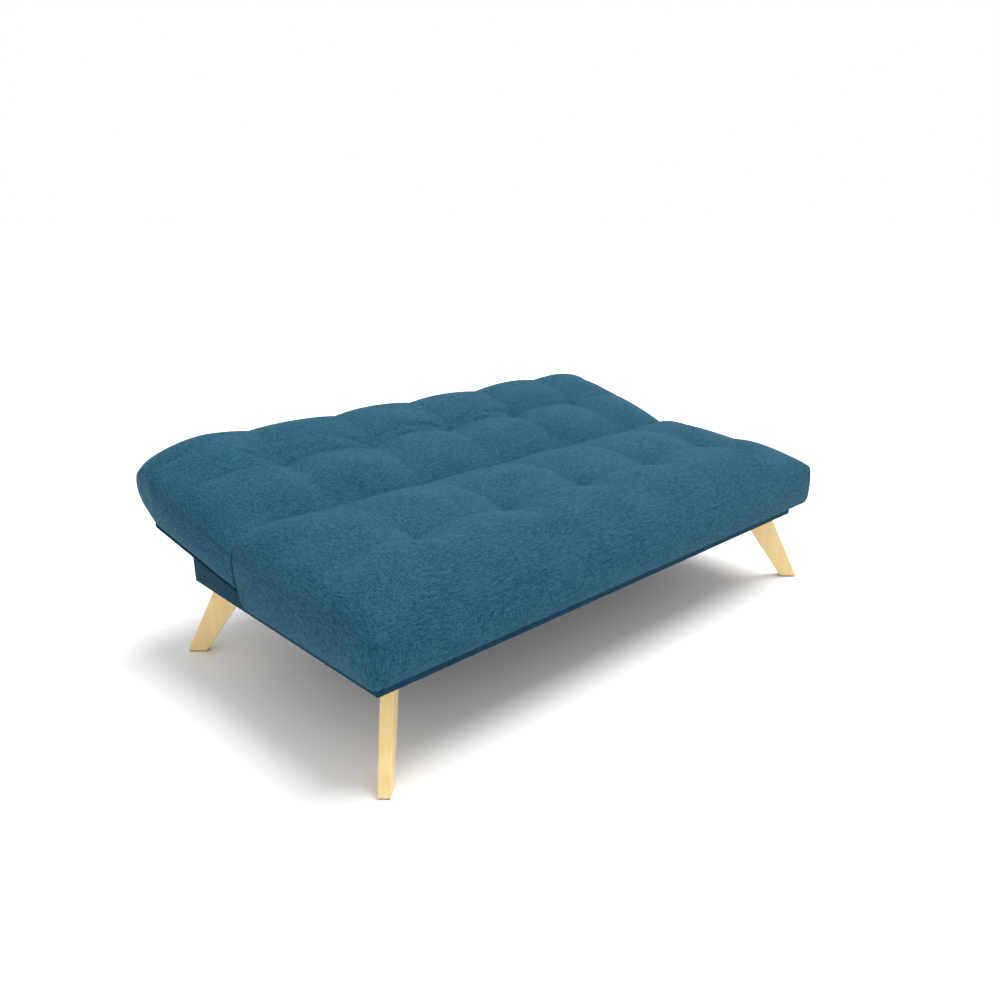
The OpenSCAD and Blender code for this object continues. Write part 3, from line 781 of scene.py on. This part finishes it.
def make_wrap(materials):
    """The base's cloth: stretched round the rails, turned in over and under them."""
    loop = wrap_outline()
    verts = []
    rng = np.random.default_rng(3)
    waves = rng.uniform(-1, 1, (3, 2))
    for point, outward, corner in loop:
        x, y = point
        top, low = rail_top(y), base_lo.z
        over = 1 if y > BACK_Y + 0.010 else 0
        soft = sum(a * math.sin(17 * (k + 1) * (x + y) + 3 * b) for k, (a, b) in enumerate(waves))
        rows = [(0.014 * over, top + 0.0012 * over), (0.002 * over, top + 0.0012 * over), (0, top - 0.0012)]
        rows += [(-0.0003 * soft * math.sin(math.pi * t), top + (low + 0.004 - top) * t)
                 for t in (0.15, 0.35, 0.55, 0.75, 0.9)]
        rows += [(0, low + 0.003), (0.0009, low + 0.0006), (0.003, low - 0.0004), (0.018, low - 0.0006)]
        verts += [(*turned_in(point, outward, corner, depth), z) for depth, z in rows]
    n, m = len(loop), len(rows)
    faces = [(i * m + k, i * m + k + 1, (i + 1) % n * m + k + 1, (i + 1) % n * m + k)
             for i in range(n) for k in range(m - 1)]
    mesh = bpy.data.meshes.new("base_wrap")
    mesh.from_pydata([tuple(map(float, v)) for v in verts], [], faces)
    mesh.validate()
    merge_close(mesh)
    piece = new_object("base_wrap", mesh)
    solid_sheet(piece, 0.0011, 1.0)
    finish_piece(piece, materials["base"], "base",
                 ["wrap_front", "wrap_rear", "wrap_left", "wrap_right"])


def dust_sheet(name, half_width, y_lo, y_hi, cut, place, node, material, body):
    """A thin cloth over an opening: hemmed round its rim and sagging a little inside it."""
    ys = lines(y_lo, y_hi, 0.012, (y_lo + 0.0125, y_hi - 0.0125))
    us = lines(-1, 1, 0.012, (-0.985, 0.985))
    verts = []
    for y in ys:
        end = min(y - y_lo, y_hi - y)
        half = half_width - max(0, cut - end)
        for u in us:
            inside = min(end, half * (1 - abs(u)))
            hem = 0.0009 * (1 - smooth(inside, 0.0115, 0.0135))
            uneven = soft_waves(np.array(u), np.array(y), 7, 0.0008) * smooth(inside, 0.01, 0.08)
            sag = 0.004 * smooth(inside, 0.02, 0.25) + uneven
            verts.append(place(u * half, y, -hem - sag))
    n = len(us)
    faces = [(j * n + i, (j + 1) * n + i, (j + 1) * n + i + 1, j * n + i + 1)
             for j in range(len(ys) - 1) for i in range(n - 1)]
    mesh = bpy.data.meshes.new(name + "_cloth")
    mesh.from_pydata(verts, [], faces)
    mesh.validate()
    piece = new_object(name + "_cloth", mesh)
    solid_sheet(piece, 0.0005, 0.0)
    finish_piece(piece, material, body, [node])


def staple_row(a, b, place):
    """Staples from a to b, each along the rim, legs turned up into the rail."""
    a, b = np.array(a), np.array(b)
    count = max(2, round(np.linalg.norm(b - a) / STAPLE_PITCH))
    way = (b - a) / np.linalg.norm(b - a)
    paths = []
    for k in range(count):
        middle = a + (b - a) * (k + 0.5) / count
        profile = ((-0.0055, 0.0010), (-0.0050, -0.0014), (0, -0.0016), (0.0050, -0.0014), (0.0055, 0.0010))
        paths.append([place(*(middle + way * d), drop) for d, drop in profile])
    return paths


def make_dust_covers(materials):
    lo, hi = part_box("base_dust_cover")
    level = base_lo.z - 0.0021

    def under_base(x, y, w):
        return x, y, level + w

    cut = DUST_CORNER_CUT
    dust_sheet("base_dust", hi.x, lo.y, hi.y, cut, under_base, "base_dust_cover", materials["dust"],
               "base")
    x1, y0, y1 = hi.x - STAPLE_EDGE, lo.y + STAPLE_EDGE, hi.y - STAPLE_EDGE
    paths = staple_row((-x1 + cut, y0), (x1 - cut, y0), under_base)
    paths += staple_row((-x1 + cut, y1), (x1 - cut, y1), under_base)
    for s in (-1, 1):
        paths += staple_row((s * x1, y0 + cut), (s * x1, y1 - cut), under_base)
    staples = tubes("base_dust_staples", paths, STAPLE_R)
    finish_piece(staples, materials["steel"], "base")

    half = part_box("back_dust_cover")[1].x

    def under_back(x, v, w):
        q = to_place(np.array([x]), np.array([v]), np.array([w - 0.0007]))[0]
        return tuple(map(float, q))

    v_lo, v_hi = 0.014, 0.438
    dust_sheet("back_dust", half, v_lo, v_hi, 0.0, under_back, "back_dust_cover", materials["base"],
               "backrest")
    paths = []
    for v in (v_lo + STAPLE_EDGE, v_hi - STAPLE_EDGE):
        paths += staple_row((-half + 0.03, v), (half - 0.03, v), under_back)
    staples = tubes("back_dust_staples", paths, STAPLE_R)
    finish_piece(staples, materials["steel"], "backrest")


# ---------------------------------------------------------------- legs


def make_leg(name, s, e, materials):
    """A tapered plank with eased edges, leaning out along the corner's diagonal."""
    lo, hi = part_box(name)
    plate_lo, plate_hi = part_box("leg_plate_" + name[4:])
    centre = (plate_lo + plate_hi) / 2
    outline = [(-LEG_TOP_W / 2, hi.z), (LEG_SPLAY - LEG_FOOT_W / 2, lo.z),
               (LEG_SPLAY + LEG_FOOT_W / 2, lo.z), (LEG_TOP_W / 2, hi.z)]
    mesh_edit = bmesh.new()
    rings = []
    for side in (-LEG_THICK / 2, LEG_THICK / 2):
        rings.append([mesh_edit.verts.new((u, side, z)) for u, z in outline])
    mesh_edit.faces.new(rings[0])
    mesh_edit.faces.new(rings[1][::-1])
    for a in range(4):
        b = (a + 1) % 4
        mesh_edit.faces.new((rings[0][b], rings[0][a], rings[1][a], rings[1][b]))
    bmesh.ops.recalc_face_normals(mesh_edit, faces=mesh_edit.faces)
    bmesh.ops.bevel(mesh_edit, geom=list(mesh_edit.edges), offset=0.0022, segments=3, profile=0.6,
                    affect="EDGES")
    angle = math.atan2(e, s)
    c, d = math.cos(angle), math.sin(angle)
    for v in mesh_edit.verts:
        u, t, z = v.co
        v.co = (centre.x + u * c - t * d, centre.y + u * d + t * c, z)
    mesh = bpy.data.meshes.new(name + "_plank")
    mesh_edit.to_mesh(mesh)
    mesh_edit.free()
    smooth_shade(mesh, False)
    piece = new_object(name + "_plank", mesh)
    finish_piece(piece, materials["leg"], "base", [name])


def make_legs(materials):
    for s, side in ((-1, "left"), (1, "right")):
        for e, end in ((-1, "front"), (1, "rear")):
            make_leg(f"leg_{end}_{side}", s, e, materials)


# ---------------------------------------------------------------- carried-over CAD nodes


def paint_cad(materials):
    for name, node in frame["nodes"].items():
        if name.startswith("glide") or name.endswith("deck"):
            material = materials["felt"]
        elif name.startswith("wrap") or name == "back_dust_cover":
            material = materials["base"]
        elif name == "base_dust_cover":
            material = materials["dust"]
        elif any(word in name for word in ("hinge", "housing", "screw", "bolt", "plate")):
            material = materials["steel"]
        else:
            material = materials["pine"]
        for place in node.material_slots:
            place.material = material


# ---------------------------------------------------------------- studio


def make_studio():
    floor_mesh = bpy.data.meshes.new("floor")
    size = 150  # metres, so that its edge lies at the horizon
    floor_mesh.from_pydata([(-size, -size, 0), (size, -size, 0), (size, size, 0), (-size, size, 0)], [],
                           [(0, 1, 2, 3)])
    floor = new_object("floor", floor_mesh)
    s = Shader("studio_floor", (0.97, 0.97, 0.97), 0.8)
    s.set(Specular_IOR_Level=0.1)
    floor.data.materials.append(s.mat)
    make_world()
    lamp = bpy.data.lights.new("key", "SUN")
    lamp.energy = 2.9
    lamp.angle = math.radians(40)
    light = bpy.data.objects.new("key", lamp)
    light.rotation_euler = Vector((-0.38, 0.10, -1)).to_track_quat("-Z", "Y").to_euler()
    bpy.context.scene.collection.objects.link(light)
    bpy.context.scene.view_settings.view_transform = "Standard"


def make_world():
    """A white surround that lights the room a little less than the camera sees it."""
    world = bpy.data.worlds.new("studio")
    world.use_nodes = True
    tree = world.node_tree
    lit = tree.nodes["Background"]
    lit.inputs["Color"].default_value = (1, 1, 1, 1)
    lit.inputs["Strength"].default_value = 0.84
    seen = tree.nodes.new("ShaderNodeBackground")
    seen.inputs["Strength"].default_value = 1.0
    seen.inputs["Color"].default_value = (1, 1, 1, 1)
    mix = tree.nodes.new("ShaderNodeMixShader")
    path = tree.nodes.new("ShaderNodeLightPath")
    tree.links.new(path.outputs["Is Camera Ray"], mix.inputs["Fac"])
    tree.links.new(lit.outputs[0], mix.inputs[1])
    tree.links.new(seen.outputs[0], mix.inputs[2])
    tree.links.new(mix.outputs[0], tree.nodes["World Output"].inputs["Surface"])
    bpy.context.scene.world = world


def make_camera():
    data = bpy.data.cameras.new("camera")
    data.sensor_width = 36
    data.lens = 30.89
    camera = bpy.data.objects.new("camera", data)
    bpy.context.scene.collection.objects.link(camera)
    camera.location = (-1.7665, FRONT_Y - 1.2749, 1.1835)
    camera.rotation_euler = (math.radians(90 - 18.23), 0, -math.radians(43.69))
    bpy.context.scene.camera = camera


materials = make_materials()
make_camera()
make_studio()
paint_cad(materials)
upholster(materials)
make_wrap(materials)
make_dust_covers(materials)
make_legs(materials)
